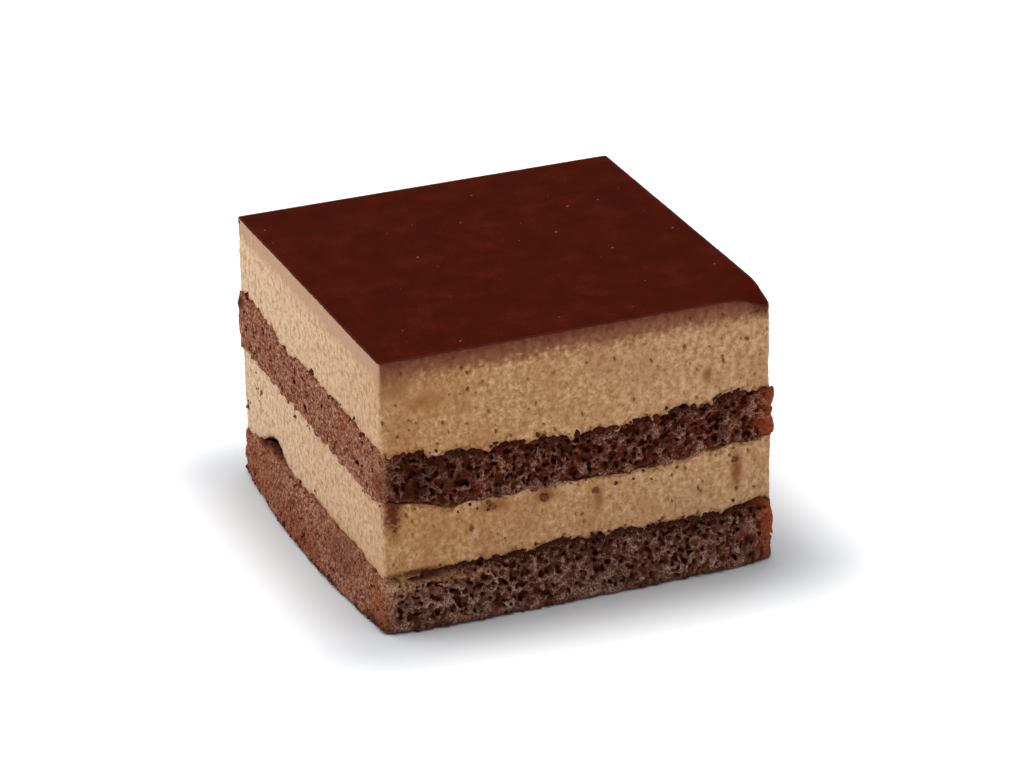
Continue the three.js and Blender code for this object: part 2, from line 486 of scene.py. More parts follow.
    # Moist crumb has no sharp flakes, so the skin is softened a little.
    softened = add("GeometryNodeBlurAttribute", {
        "Value": add("GeometryNodeInputPosition"), "Iterations": SOFTEN,
        "Weight": SOFTEN_WEIGHT,
    }, data_type="FLOAT_VECTOR")
    soft = add("GeometryNodeSetPosition", {"Geometry": whole, "Position": softened})
    add("NodeGroupOutput", {0: soft})
    return tree

# %% [markdown]
# ## The two sponges
#
# Each sponge starts as a cube of its own size, which the crumb replaces. The crumb comes out in
# equally small triangles everywhere, so the plain places are thinned. The piece is then bent to
# lie between its two boundaries. At its rim it laps over the boundary, where lumps of it stand
# out in front of the mousse. The weight of the cake then spreads the foot of the bottom sponge,
# which moves its points outwards.

# %% How a sponge is made
MOST_TRIANGLES = 195_000
FOOT_FALL_OFF = 5


def new_cube(name, low, high):
    """A cube primitive between two corners in mm, with its place in its mesh."""
    bpy.ops.object.select_all(action="DESELECT")
    centre = (low + high) / 2 + MIDDLE
    bpy.ops.mesh.primitive_cube_add(size=1, location=centre * MM, scale=(high - low) * MM)
    piece = bpy.context.object
    piece.name = name
    piece.data.name = name
    bpy.ops.object.transform_apply(location=True, rotation=True, scale=True)
    return piece


def thin(piece):
    """Merges triangles, in the plainest places first, until the piece is light enough."""
    modifier = piece.modifiers.new("thin", "DECIMATE")
    modifier.ratio = min(1, MOST_TRIANGLES / triangles_of(piece))
    keep_modifier(piece, modifier)


def spread_foot(piece):
    """Moves the foot of a sponge outwards, furthest in the middle of each side."""
    places = points_of(piece)
    x, y = plan_of(places)
    low = 1 - places[:, 2] / places[:, 2].max()
    for side, axis, sign, along, beside in (
        ("left", 0, -1, x, y), ("right", 0, 1, x, y),
        ("front", 1, -1, y, x), ("back", 1, 1, y, x),
    ):
        reach, bulge = FOOT_SPREAD[side]
        outwards = np.clip(sign * along / HALF, 0, None) ** FOOT_FALL_OFF
        across = 1 - np.clip(np.abs(beside) / HALF, 0, 1) ** bulge
        places[:, axis] += sign * reach * outwards * across * low * MM
    move_points(piece, places)


def sponge(name, node, thickness, corner, under, bottom_of, top_of, offset):
    """A sponge layer in the place of the frame's layer of that name. The offset moves its
    pattern, so that no two sponges have the same crumb."""
    low, high = SPONGE_PLANS[node]
    low = Vector((*low, 0))
    high = Vector((*high, thickness))
    piece = new_cube(name, low, high)
    run_tree(piece, crumb_tree(name, low, high, corner, under, offset))
    thin(piece)
    lay(piece, thickness, bottom_of, top_of)
    if node == "sponge_bottom":
        spread_foot(piece)
    finish_piece(piece, node)
    return piece


# %% Make the sponges
# The upper sponge fills its own box. PROUD is how far the bottom one stands out beyond the cut.
# FOOT_SPREAD is how far its foot spreads on each side, and how straight that side stays: a
# higher number keeps the spread up nearer to the corners.
PROUD = 0.6
FOOT_SPREAD = {"left": (1.85, 2), "right": (1.1, 6), "front": (1.45, 8), "back": (1.15, 4)}
upper_low, upper_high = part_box("sponge_upper")
SPONGE_PLANS = {
    "sponge_bottom": ((-HALF - PROUD,) * 2, (HALF + PROUD,) * 2),
    "sponge_upper": ((upper_low / MM - MIDDLE).xy, (upper_high / MM - MIDDLE).xy),
}

bottom_sponge = sponge(
    "bottom_crumb", "sponge_bottom", thickness=8.9 + LAP, corner=1.0, under=0,
    bottom_of=flat(0), top_of=raised(sponge_bottom_top, LAP), offset=(13, 5, 31),
)
upper_sponge = sponge(
    "upper_crumb", "sponge_upper", thickness=7.9 + 2 * LAP, corner=0.8, under=LAP_INSET,
    bottom_of=raised(mousse_lower_top, -LAP), top_of=raised(sponge_upper_top, LAP),
    offset=(71, 43, 9),
)

# %% [markdown]
# ## Slabs with fine walls
#
# Mousse and glaze are cut clean, so they are plain slabs whose walls carry fine marks. The
# outline starts as a plane whose corners are bevelled. Its sides are divided finely, and then
# it is extruded upwards in one step and the upright edges are divided into rows.

# %% Selecting by place
NEAR = 1e-6


def pick(piece, wanted):
    """Selects exactly the edges for which wanted(start, end) is true, in edit mode."""
    bpy.ops.mesh.select_mode(type="EDGE")
    bpy.ops.mesh.select_all(action="DESELECT")
    built = bmesh.from_edit_mesh(piece.data)
    for edge in built.edges:
        edge.select_set(wanted(edge.verts[0].co, edge.verts[1].co))
    bmesh.update_edit_mesh(piece.data)


def pick_rim(piece, height):
    """Selects the loop of edges at a height in mm, in edit mode."""
    level = height * MM
    pick(piece, lambda start, end: abs(start.z - level) < NEAR and abs(end.z - level) < NEAR)


def pick_corner(piece, side_x, side_y):
    """Selects the corner of the outline on those sides of the middle, in edit mode."""
    bpy.ops.mesh.select_mode(type="VERT")
    bpy.ops.mesh.select_all(action="DESELECT")
    built = bmesh.from_edit_mesh(piece.data)
    furthest = max(built.verts, key=lambda vert: vert.co.x * side_x + vert.co.y * side_y)
    furthest.select_set(True)
    built.select_flush(True)
    bmesh.update_edit_mesh(piece.data)


# %% How a slab is made
SHORT = 2.5 * MM
FIRST_PIECES = 16
CAP_RINGS = ((0.98, 0), (0.96, 0), (0.94, 0), (0.7, 0), (0.36, 0))


def tube(name, thickness, corners, step):
    """An open tube of the cut square, from height 0 up. corners gives each corner's sides and
    radius in mm, and step is the fineness of the wall in mm."""
    bpy.ops.object.select_all(action="DESELECT")
    bpy.ops.mesh.primitive_plane_add(size=2 * HALF * MM, location=MIDDLE * MM)
    piece = bpy.context.object
    piece.name = name
    piece.data.name = name
    bpy.ops.object.transform_apply(location=True, rotation=True, scale=True)
    bpy.ops.object.mode_set(mode="EDIT")
    for side_x, side_y, radius in corners:
        pick_corner(piece, side_x, side_y)
        around = max(3, round(math.pi / 2 * radius / step))
        bpy.ops.mesh.bevel(offset=radius * MM, segments=around, affect="VERTICES")
    bpy.ops.mesh.select_all(action="SELECT")
    bpy.ops.mesh.delete(type="ONLY_FACE")

    # A long edge is divided twice, because a single cut can't be fine enough.
    for pieces in (FIRST_PIECES, round(2 * HALF / FIRST_PIECES / step)):
        pick(piece, lambda start, end: (start - end).length > SHORT)
        bpy.ops.mesh.subdivide(number_cuts=pieces - 1)

    bpy.ops.mesh.select_all(action="SELECT")
    bpy.ops.mesh.extrude_region_move(TRANSFORM_OT_translate={"value": (0, 0, thickness * MM)})
    pick(piece, lambda start, end: abs(start.z - end.z) > thickness * MM / 2)
    bpy.ops.mesh.subdivide(number_cuts=max(1, round(thickness / step) - 1))
    bpy.ops.object.mode_set(mode="OBJECT")

    # The points so far are the wall, and this number on each point says so.
    mark(piece, "wall", np.ones(len(piece.data.vertices)))
    return piece


def close(piece, height, rings):
    """Closes the tube at a height: rings stepped in towards the middle, then a fan. A ring is
    its share of the way out and how far it rises over the one before, in mm."""
    bpy.ops.object.mode_set(mode="EDIT")
    pick_rim(piece, height)
    reached = 1.0
    for reach, rise in rings:
        bpy.ops.mesh.extrude_region_move(TRANSFORM_OT_translate={"value": (0, 0, rise * MM)})
        share = reach / reached
        bpy.ops.transform.resize(value=(share, share, 1), center_override=MIDDLE * MM)
        reached = reach
    bpy.ops.mesh.edge_face_add()
    bpy.ops.mesh.poke()
    bpy.ops.mesh.select_all(action="SELECT")
    bpy.ops.mesh.normals_make_consistent(inside=False)
    bpy.ops.object.mode_set(mode="OBJECT")


def mark_wall(piece, wall_points, wall_height, rounded):
    """Sets the number that says how much each point belongs to the wall: 1 for the first
    wall_points, falling to 0 over the rounded edge above the wall, and 0 elsewhere."""
    over = (points_of(piece)[:, 2] / MM - wall_height) / max(rounded, NEAR)
    belongs = np.where(over > NEAR, np.clip(1 - over, 0, 1), 0)
    belongs[:wall_points] = 1
    mark(piece, "wall", belongs)

# %% [markdown]
# ## Cut marks in the mousse
#
# Mousse is a fine foam set with fat. The knife leaves a nearly flat face that wavers a little,
# and drags short upright furrows in it. Air bubbles open as pits, taller than they are wide
# because the blade pulled them. The marks are moved into the wall's own points, so they are
# there in the shape as well as in the colour.

# %% How the cut is made
# Each kind of mark is a stretch of its pattern, a detail and a height in mm: the waver of the
# blade, the furrows and the grain.
MARKS = (
    ((0.12, 0.12, 0.12), 1.0, 0.28),
    ((0.9, 0.9, 0.6), 2.0, 0.3),
    ((1.7, 1.7, 1.4), 1.0, 0.2),
)
# Each kind of pit is a spacing, the smallest and largest radius (below zero for none) and a
# depth, all in mm.
PITS = ((1.0, -0.1, 0.29, 0.28), (1.8, -0.26, 0.38, 0.32))
PIT_STRETCH = (1, 1, 0.62)
PIT_BEGINS = -0.05
PIT_FULL = 0.16


def cut_tree(name, proud):
    """Cut marks for a wall, which stands proud by some mm."""
    tree, add = geometry_tree(name)
    given = add("NodeGroupInput")
    place = in_mm(add, add("GeometryNodeInputPosition"))

    # Only the wall is marked, and only straight outwards.
    wall = add("GeometryNodeInputNamedAttribute", {"Name": "wall"}, data_type="FLOAT")
    normal = add("GeometryNodeInputNormal")
    level_normal = add(VECTOR, {0: normal, 1: (1, 1, 0)}, operation="MULTIPLY")
    outwards = add(VECTOR, {0: level_normal}, operation="NORMALIZE")

    total = add(MATH, {0: wall, 1: proud}, operation="MULTIPLY")
    for stretch, detail, height in MARKS:
        pulled = add(VECTOR, {0: place, 1: stretch}, operation="MULTIPLY")
        pattern = add(NOISE, {"Vector": pulled, "Scale": 1.0, "Detail": detail})
        level = add(MATH, {0: pattern, 1: 0.5}, operation="SUBTRACT")
        total = add(MATH, {0: level, 1: height, 2: total}, operation="MULTIPLY_ADD")

    hollow = add(MATH, {0: 0.0, 1: 0.0}, operation="ADD")
    warp = add(NOISE, {"Vector": place, "Scale": 0.9, "Detail": 1.0}).outputs["Color"]
    bent = add(VECTOR, {0: warp, 1: place}, operation="ADD")
    tall = add(VECTOR, {0: bent, 1: PIT_STRETCH}, operation="MULTIPLY")
    for spacing, smallest, largest, depth in PITS:
        cells, size = sized_cells(add, tall, spacing, smallest, largest)
        inside = add(MATH, {0: cells, 1: -spacing, 2: size}, operation="MULTIPLY_ADD")
        pit = add(RAMP, {
            "Value": inside, "From Min": PIT_BEGINS, "From Max": PIT_FULL, "To Max": depth,
        }, interpolation_type="SMOOTHSTEP")
        masked = add(MATH, {0: pit, 1: wall}, operation="MULTIPLY")
        hollow = add(MATH, {0: hollow, 1: masked}, operation="MAXIMUM")
    lower = add(MATH, {0: total, 1: hollow}, operation="SUBTRACT")
    amount = add(MATH, {0: lower, 1: wall}, operation="MULTIPLY")
    metres = add(MATH, {0: amount, 1: MM}, operation="MULTIPLY")
    offset_by = add(VECTOR, {0: outwards, "Scale": metres}, operation="SCALE")
    kept = add("GeometryNodeStoreNamedAttribute", {
        "Geometry": given, "Name": "hollow", "Value": hollow,
    }, data_type="FLOAT", domain="POINT")
    marked = add("GeometryNodeSetPosition", {"Geometry": kept, "Offset": offset_by})
    add("NodeGroupOutput", {0: marked})
    return tree

# %% [markdown]
# ## The two mousses
#
# A mousse layer is a slab that lies between its two boundaries, with a ragged lip where it
# meets a sponge. Its upright edges are nearly sharp. The corner at the front right of the upper
# one is rounder, because the glaze above it sagged there.

# %% Make the mousses
CORNERS = [(x, y, 0.4) for x, y in ((-1, -1), (1, 1), (-1, 1))]
LOWER_CORNER = (1, -1, 0.4)
SLUMPED_CORNER = (1, -1, 1.1)
STAIN_REACH = 2.5


def mousse(name, node, thickness, corners, bottom_of, top_of, sponge_above):
    """A mousse layer in the place of the frame's layer of that name. Each point is marked with
    how near a sponge it lies, from 0 at STAIN_REACH mm away to 1 at the sponge."""
    piece = tube(name, thickness, corners, WALL_STEP)
    wall_points = len(piece.data.vertices)
    close(piece, 0, CAP_RINGS)
    close(piece, thickness, CAP_RINGS)
    mark_wall(piece, wall_points, thickness, 0)
    to_sponge = points_of(piece)[:, 2] / MM
    if sponge_above:
        to_sponge = np.minimum(to_sponge, thickness - to_sponge)
    mark(piece, "near_sponge", np.clip(1 - to_sponge / STAIN_REACH, 0, 1))
    lay(piece, thickness, bottom_of, top_of)
    run_tree(piece, cut_tree(name, 0.0))
    finish_piece(piece, node)
    return piece


lower_mousse = mousse(
    "lower_mousse", "mousse_lower", thickness=9.9, corners=[*CORNERS, LOWER_CORNER],
    bottom_of=lipped(
        sponge_bottom_top, by=-0.25, uneven=0.75, phase=0.2, humps=[(16.5, 5.5, 2.3)]
    ),
    top_of=lipped(mousse_lower_top, by=0, uneven=0.5, phase=1.1),
    sponge_above=True,
)
upper_mousse = mousse(
    "upper_mousse", "mousse_upper", thickness=14.0, corners=[*CORNERS, SLUMPED_CORNER],
    bottom_of=lipped(sponge_upper_top, by=-0.2, uneven=0.95, phase=2.7),
    top_of=lipped(mousse_upper_top, by=0.4, uneven=0.2, phase=4.0),
    sponge_above=False,
)

# %% [markdown]
# ## The glaze
#
# Glaze is poured over the whole slab, runs level and sets about two millimetres thick. The
# knife cuts it clean and pulls its edge over a little, so the top edge is rounded. The corner
# at the front right sagged when the portion was lifted.

# %% Make the glaze
GLAZE_THICKNESS = 2.3
GLAZE_PROUD = 0.015
GLAZE_DROP = 0.1
EDGE_RADIUS = 0.12
EDGE_STEPS = 2
SLUMP = 1.8
SLUMP_REACH = 3.7
GLAZE_RINGS = (0.975, 0.96, 0.94, 0.9, 0.85, 0.8, 0.73, 0.65, 0.56, 0.46, 0.35, 0.24, 0.13)


def glaze_top(x, y):
    """Level, but lower where the corner has sagged."""
    away = np.hypot(x - HALF, y + HALF)
    return HEIGHT - GLAZE_DROP - SLUMP * np.exp(-(away / SLUMP_REACH) ** 2)


top_rings = []
risen = 0
for step in range(1, EDGE_STEPS + 1):
    turned = step / EDGE_STEPS * math.pi / 2
    inset = EDGE_RADIUS * (1 - math.cos(turned))
    height = EDGE_RADIUS * math.sin(turned)
    top_rings.append((1 - inset / HALF, height - risen))
    risen = height
top_rings += [(reach, 0) for reach in GLAZE_RINGS]

wall_height = GLAZE_THICKNESS - EDGE_RADIUS
glaze = tube("glaze", wall_height, [*CORNERS, SLUMPED_CORNER], WALL_STEP)
wall_points = len(glaze.data.vertices)
close(glaze, 0, CAP_RINGS)
close(glaze, wall_height, top_rings)
mark_wall(glaze, wall_points, wall_height, EDGE_RADIUS)
underside = lipped(mousse_upper_top, by=-0.4, uneven=0.25, phase=5.3)
lay(glaze, GLAZE_THICKNESS, underside, glaze_top)
run_tree(glaze, cut_tree("glaze", GLAZE_PROUD))
finish_piece(glaze, "glaze_top")

# %% [markdown]
# ## Loose crumbs
#
# The knife carries crumbs of sponge down over the mousse and leaves a few specks on the glaze.
# Others stick to the foot of the cake, all the way round. Each crumb is a small ball of its own
# size, and one noise then pushes them all out of round. A number on each of them says how pale
# it is.

# %% Where the crumbs lie
rng = np.random.default_rng(7)

# Clusters: the place of each in mm from the middle of the cut square, how far it spreads, how
# many crumbs, and their radii.
CLUSTERS = (
    ((-13.6, -HALF, 17.0), 0.9, 6, (0.2, 0.4)),
    ((-5.4, -HALF, 16.8), 0.5, 5, (0.3, 0.5)),
    ((2.4, -HALF, 16.0), 0.9, 6, (0.2, 0.4)),
    ((24.4, -HALF, 16.8), 0.8, 5, (0.2, 0.4)),
    ((-29.7, -29.7, 1.6), 1.2, 12, (0.25, 0.45)),
    ((-HALF, 23.5, 15.0), 2.2, 6, (0.12, 0.22)),
    ((-HALF, 28.6, 11.6), 1.4, 7, (0.16, 0.28)),
    ((-29.4, 29.4, 41.2), 0.4, 4, (0.35, 0.5)),
)
CLUSTER_EDGE = 0.6

# Each edge of a sponge: its height, how far its crumbs spread, and the largest radius and the
# palest tone of them.
EDGES = (
    (sponge_bottom_top, 1.2, 0.3, 0.8),
    (mousse_lower_top, 2.0, 0.3, 0.8),
    (sponge_upper_top, 0.9, 0.5, 0.2),
)
EDGE_CRUMBS = 22
SMALLEST_EDGE_CRUMB = 0.12
EDGE_MARGIN = 1
SPECKS = 12
SPECK_RADII = (0.1, 0.17)
SPECK_SUNK = 0.4
SPECK_MARGIN = 3
FOOT_CRUMBS = 60
FOOT_RADII = (0.15, 0.36)
# The height of a crumb at the foot, and its room to the box, in its own radii.
FOOT_HEIGHTS = (1.6, 3.2)
ROOM = 1.6


def crumb_places():
    """Every crumb: its place in mm, its radius in mm and how pale it is."""
    crumbs = []
    for centre, spread, number, (smallest, largest) in CLUSTERS:
        furthest = CLUSTER_EDGE * spread
        for _ in range(number):
            shift = Vector(np.clip(rng.normal(0, spread / 2, 3), -furthest, furthest))
            for axis in (0, 1):
                if abs(centre[axis]) == HALF:
                    shift[axis] = 0
            radius = rng.uniform(smallest, largest)
            crumbs.append((Vector(centre) + shift, radius, rng.uniform(0.3, 1)))

    sides = [Matrix.Rotation(turn * math.pi / 2, 3, "Z") for turn in range(4)]
    for side in sides:
        for height_of, spread, largest, palest in EDGES:
            for _ in range(EDGE_CRUMBS):
                across = rng.uniform(EDGE_MARGIN - HALF, HALF - EDGE_MARGIN)
                place = side @ Vector((across, -HALF, 0))
                place.z = height_of(place.x, place.y) + rng.normal(0, spread / 2)
                radius = rng.uniform(SMALLEST_EDGE_CRUMB, largest)
                crumbs.append((place, radius, rng.uniform(0, palest)))

    for _ in range(SPECKS):
        across = rng.uniform(SPECK_MARGIN - HALF, HALF - SPECK_MARGIN, 2)
        radius = rng.uniform(*SPECK_RADII)
        place = Vector((across[0], across[1], HEIGHT - GLAZE_DROP - SPECK_SUNK * radius))
        crumbs.append((place, radius, rng.uniform(0.6, 1.0)))

    for side, name in zip(sides, ("front", "right", "back", "left")):
        reach, bulge = FOOT_SPREAD[name]
        for _ in range(FOOT_CRUMBS):
            across = rng.uniform(-HALF, HALF)
            radius = rng.uniform(*FOOT_RADII)
            out = HALF + PROUD - INSET + reach * (1 - abs(across / HALF) ** bulge)
            place = side @ Vector((across, -out, rng.uniform(*FOOT_HEIGHTS) * radius))
            crumbs.append((place, radius, rng.uniform(0, 0.6)))

    # Every crumb stays within the box of the cake.
    for place, radius, _ in crumbs:
        for axis in range(3):
            lowest = cad_box[0][axis] / MM - MIDDLE[axis] + ROOM * radius
            highest = cad_box[1][axis] / MM - MIDDLE[axis] - ROOM * radius
            place[axis] = min(max(place[axis], lowest), highest)
    return crumbs


places, radii, tones = zip(*crumb_places())
print(len(places), "crumbs, radius", round(min(radii), 2), "to", round(max(radii), 2), "mm")

# %% Make the crumbs
CRUMB_SHAPE = 2.2
CRUMB_FACES = {"subdivisions": 2}


def crumb_shape_tree(name):
    """Pushes small balls out of round."""
    tree, add = geometry_tree(name)
    given = add("NodeGroupInput")
    place = in_mm(add, add("GeometryNodeInputPosition"))
    uneven = add(NOISE, {"Vector": place, "Scale": 3.2, "Detail": 2.0}).outputs["Color"]
    centred = add(VECTOR, {0: uneven, 1: (0.5, 0.5, 0.5)}, operation="SUBTRACT")
    radius = add("GeometryNodeInputNamedAttribute", {"Name": "radius"}, data_type="FLOAT")
    amount = add(MATH, {0: radius, 1: CRUMB_SHAPE * MM}, operation="MULTIPLY")
    shift = add(VECTOR, {0: centred, "Scale": amount}, operation="SCALE")
    moved = add("GeometryNodeSetPosition", {"Geometry": given, "Offset": shift})
    add("NodeGroupOutput", {0: moved})
    return tree


bpy.ops.object.select_all(action="DESELECT")
bpy.ops.mesh.primitive_ico_sphere_add(radius=MM, **CRUMB_FACES)
crumbs = bpy.context.object
crumbs.name = "crumbs"
crumbs.data.name = "crumbs"
bpy.ops.object.mode_set(mode="EDIT")
bpy.ops.mesh.delete(type="VERT")
for place, radius in zip(places, radii):
    middle = (place + MIDDLE) * MM
    bpy.ops.mesh.primitive_ico_sphere_add(radius=radius * MM, location=middle, **CRUMB_FACES)
bpy.ops.object.mode_set(mode="OBJECT")
points_each = len(crumbs.data.vertices) // len(places)
mark(crumbs, "radius", np.repeat(radii, points_each))
mark(crumbs, "tone", np.repeat(tones, points_each))
run_tree(crumbs, crumb_shape_tree("crumb_shape"))
finish_piece(crumbs, "sponge_bottom")

# %% [markdown]
# ## Colours and patterns
#
# Colours are easiest to judge as the hex values of a screen, but light is added up on a
# straight scale, so one function turns a hex value into that scale. Patterns are placed in
# millimetres from the middle of the cut square, so a pattern's scale is 1 over the real width
# of its grains. All the pieces share the same places, so a smear that crosses two layers lines
# up.

# %% Colour and material helpers
def linear(hex_code):
    """A screen colour such as "c9a57a" on the straight scale of light."""
    parts = [int(hex_code[i:i + 2], 16) / 255 for i in (0, 2, 4)]
    return (*[p / 12.92 if p <= 0.04045 else ((p + 0.055) / 1.055) ** 2.4 for p in parts], 1)


def new_material(name):
    """An empty material, what adds nodes to it, and its own places in mm."""
    material = bpy.data.materials.new(name)
    material.use_nodes = True
    material.node_tree.nodes.clear()
    add = partial(add_node, material.node_tree)
    return material, add, in_mm(add, add("ShaderNodeTexCoord").outputs["Object"])


def coat(add, under, layers):
    """Mixes colours over each other. A layer is a colour and its amount, or a colour, a pattern,
    the pattern's value where the colour begins, its value where it is full, and its largest
    amount. A colour is a screen colour, or the output of another mix."""
    for colour, amount, *ramp in layers:
        if ramp:
            begins, full, most = ramp
            amount = add(RAMP, {
                "Value": amount, "From Min": begins, "From Max": full, "To Max": most,
            })
        over = linear(colour) if isinstance(colour, str) else colour
        mixed = add("ShaderNodeMix", {0: amount, 6: under, 7: over}, data_type="RGBA")
        under = mixed.outputs[2]
    return under


def dress(material, settings, *pieces):
    """Gives a material its surface and its output, and puts it on its pieces."""
    surface = add_node(material.node_tree, "ShaderNodeBsdfPrincipled", settings)
    add_node(material.node_tree, "ShaderNodeOutputMaterial", {0: surface})
    for piece in pieces:
        piece.data.materials.clear()
        piece.data.materials.append(material)
    print(material.name, "has", len(material.node_tree.nodes), "nodes")

# %% [markdown]
# ## Smears
#
# The knife and the palette knife drag a little of one layer over the next. A smear is a soft
# ellipsoid of another colour. The same soft ellipsoids also paint a few dark patches of shade:
# in a crack, in a hollow under a rim and under an overhang. A noise is added to the distance
# from its middle, so that its outline is ragged.

# %% How a smear is made
SMEAR_RAGGED = 3.2
SMEAR_FULL = 2.0
SMEAR_ENDS = 2.8


def smear_layers(add, place, edge, smears):
    """A coat for each smear: its place in mm, its half size, its colour and its amount. edge is
    the uneven value that makes its outline ragged."""
    layers = []
    for centre, half_size, colour, amount in smears:
        inverse = [1 / side for side in half_size]
        apart = add(VECTOR, {0: place, 1: centre}, operation="SUBTRACT")
        scaled = add(VECTOR, {0: apart, 1: inverse}, operation="MULTIPLY")
        away = add(VECTOR, {0: scaled}, operation="LENGTH").outputs["Value"]
        uneven = add(MATH, {0: edge, 1: SMEAR_RAGGED, 2: away}, operation="MULTIPLY_ADD")
        layers.append((colour, uneven, SMEAR_ENDS, SMEAR_FULL, amount))
    return layers

# %% [markdown]
# ## Cocoa sponge
#
# The torn crumb of the front and back is dark: each cell traps light, and only the thin walls
# between the cells catch it, and the deeper places are also painted darker, as painted shade.
# Both sponges are darkest along their top edge, which is painted shade under the mousse that
# laps over them, and they have darker soaked patches; the lower one is paler. Along the foot the
# crumb is painted darker, as painted shade. On the left the crumb is lighter and redder: partly
# a smear of cream, partly painted light from the lamp on that side. The corner at the front
# right is more orange: partly dry crust, partly painted light where the rounded corners catch
# the lamps. Crumb has no gloss at all.

# %% Colours of the sponge
RIDGE_COLOUR = "9d7262"
# Painted shade on the walls behind the ridges, here and for the lower sponge two lines down.
WALL_SHADE_COLOUR = "5a2b1c"
LOW_RIDGE_COLOUR = "bc9784"
LOW_WALL_SHADE_COLOUR = "744635"
BRIGHT_SPECK_COLOUR = "c8a391"
DARK_SPECK_COLOUR = "623323"
# Darker: soaked patches, and painted shade along the top edge under the mousse.
SOAKED_AND_SHADE_COLOUR = "2f1008"
# Orange: partly dry crust, partly painted light where the rounded corner catches the lamps.
DRY_AND_LIT_COLOUR = "a34e2b"
# Painted shade along the foot, where the crumb meets the sweep.
FOOT_SHADE_COLOUR = "45201a"
# The left side, lighter and redder: partly a smear of cream, partly painted light from the lamp
# on that side.
LIT_LEFT_COLOUR = "b07b63"
LEFT_PATCH_COLOUR = "9a5238"
LEFT_DARK_COLOUR = "6a3626"
LEFT_PALE_COLOUR = "d4a68f"
# Painted shade in the cells of the left side.
LEFT_CELL_SHADE_COLOUR = "4a1d10"
SPECK_COLOUR = "4a1e12"
# Painted shade in the deepest cells.
CELL_SHADE_COLOUR = "59240f"

# The place of each smear in mm, its half size in mm, its colour and its amount.
SPONGE_SMEARS = (
    ((-21.5, -HALF, 7.3), (9.5, 2.5, 1.2), "bd8a60", 0.5),
    ((-28.4, -HALF, 7.3), (2.4, 2.5, 1.2), "deb48a", 0.55),
    ((-24.5, -HALF, 23.2), (8.5, 2.5, 3.4), "1c0805", 0.45),
    # Painted shade in the crack where the lower mousse meets the bottom sponge.
    ((-25.2, -HALF, 8.2), (4.2, 2.5, 0.5), "260c06", 0.8),
    # These two are painted shade in the hollow under the rim of the lower mousse on the left.
    ((-30.2, 21.0, 9.4), (2.6, 3.4, 1.3), "32120a", 0.95),
    ((-30.2, 15.4, 10.1), (2.6, 4.6, 1.4), "32120a", 1.0),
    ((-30.8, 29.6, 28.6), (1.8, 1.8, 1.5), "3c1c10", 0.9),
    ((-31.0, -15.0, 6.4), (2.0, 6.0, 2.6), "70463c", 0.45),
    ((-31.5, 3.0, 2.4), (2.0, 9.0, 2.6), "8f402a", 0.5),
    # Orange at the front left corner: partly dry crust, partly painted light where the rounded
    # corner catches the lamps.
    ((-30.8, -28.4, 3.8), (2.0, 2.8, 3.8), "a05a38", 0.45),
    ((-31.5, 20.0, 4.0), (2.0, 6.0, 3.5), "a85e3c", 0.4),
    # Orange at the front right corner: partly dry crust, partly painted light.
    ((31.0, -30.0, 5.0), (2.6, 3.0, 5.0), "a04c2c", 0.6),
    # Painted shadow under the crumb that hangs over the foot at the front left corner.
    ((-31.4, -27.2, 0.9), (2.0, 3.0, 1.1), "2c120c", 0.75),
)

# %% Cocoa sponge
DRY_CRUMB = {"Roughness": 0.9, "IOR": 1.4, "Specular IOR Level": 0.0}
# Widths in mm, each as a length over how many grains, speckles or patches fit into it.
SPONGE_GRAIN = 10 / 19
SPONGE_SPECKLE = 5 / 17
SPONGE_PATCH = 10 / 3
LEFT_WANDER = 1.6
RIGHT_WANDER = 3.0
BETWEEN_SPONGES = 12.5

sponge_material, add, place = new_material("cocoa_sponge_baked_torn")
x, y, height = add(AXES, {0: place}).outputs
grain = add(NOISE, {
    "Vector": place, "Scale": 1 / SPONGE_GRAIN, "Detail": 4.0, "Roughness": 0.75,
})
speckle = add(NOISE, {
    "Vector": place, "Scale": 1 / SPONGE_SPECKLE, "Detail": 2.0, "Roughness": 0.7,
})
patches = add(NOISE, {"Vector": place, "Scale": 1 / SPONGE_PATCH, "Detail": 3.0})
hollow = add("ShaderNodeAttribute", attribute_name="hollow").outputs["Fac"]
below = add("ShaderNodeAttribute", attribute_name="below_top").outputs["Fac"]

# The edges of the left side, which is painted lighter, and of the orange corner at the right
# wander a little.
wander = add(MATH, {0: grain, 1: LEFT_WANDER, 2: x}, operation="MULTIPLY_ADD")
wander_more = add(MATH, {0: grain, 1: RIGHT_WANDER, 2: x}, operation="MULTIPLY_ADD")
at_right = add(RAMP, {
    "Value": wander_more, "From Min": HALF - 2.4, "From Max": HALF + 1.6, "To Max": 0.68,
})
near_corner = add(RAMP, {
    "Value": y, "From Min": 1.5 - HALF, "From Max": 6.0 - HALF, "To Min": 1.0, "To Max": 0.3,
})
dry_and_lit = add(MATH, {0: at_right, 1: near_corner}, operation="MULTIPLY")

# More of the specks are bright towards the foot.
low = add(RAMP, {
    "Value": height, "From Min": BETWEEN_SPONGES + 0.5, "From Max": BETWEEN_SPONGES - 0.5,
})
crumbly = add(RAMP, {
    "Value": height, "From Min": 3.2, "From Max": 0.4, "To Min": 0.0, "To Max": -0.06,
})
bright = add(MATH, {0: speckle, 1: crumbly}, operation="ADD")

